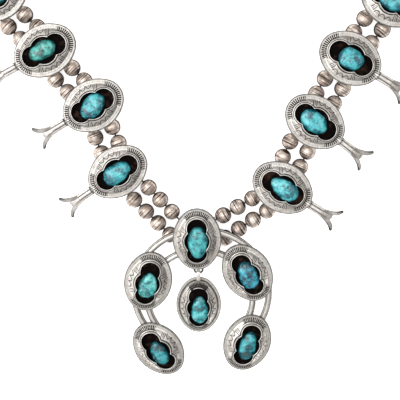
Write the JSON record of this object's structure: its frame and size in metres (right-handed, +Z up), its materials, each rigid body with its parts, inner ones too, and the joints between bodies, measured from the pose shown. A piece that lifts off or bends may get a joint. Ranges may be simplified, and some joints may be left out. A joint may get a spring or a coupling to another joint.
{
  "type": "squash blossom necklace",
  "caption": "Silver squash blossom necklace lying flat: a double strand of round beads, oval blossoms with turquoise nuggets, and a crescent pendant with a small drop",
  "frame": {"origin": "Middle of the necklace's box at the surface that it lies on", "axes": "+Z up, +Y from the crescent pendant to the clasp, +X to the viewer's right when seen from above"},
  "size_m": [0.2448, 0.3226, 0.0149],
  "materials": {
    "concho_silver": "satin silver with darkened stamping",
    "bead_silver": "satin silver with a warm tarnish",
    "plain_silver": "satin",
    "turquoise": "polished nugget with brown matrix",
    "strand": "braided strand"
  },
  "bodies": {
    "root": {"naja": "concho_silver", "drop": "concho_silver", "clasp": "plain_silver", "blossom_left_1": "concho_silver", "blossom_left_2": "concho_silver", "blossom_left_3": "concho_silver", "blossom_left_4": "concho_silver", "stone_left_1": "turquoise", "stone_left_2": "turquoise", "stone_left_3": "turquoise", "stone_left_4": "turquoise", "blossom_right_1": "concho_silver", "blossom_right_2": "concho_silver", "blossom_right_3": "concho_silver", "blossom_right_4": "concho_silver", "stone_right_1": "turquoise", "stone_right_2": "turquoise", "stone_right_3": "turquoise", "stone_right_4": "turquoise", "naja_stone_top": "turquoise", "naja_stone_left_upper": "turquoise", "naja_stone_left_lower": "turquoise", "naja_stone_right_upper": "turquoise", "naja_stone_right_lower": "turquoise", "drop_stone": "turquoise", "beads_inner_left": "bead_silver", "beads_outer_left": "bead_silver", "beads_inner_right": "bead_silver", "beads_outer_right": "bead_silver", "inner_thread": "strand", "outer_thread": "strand"}
  },
  "joints": []
}
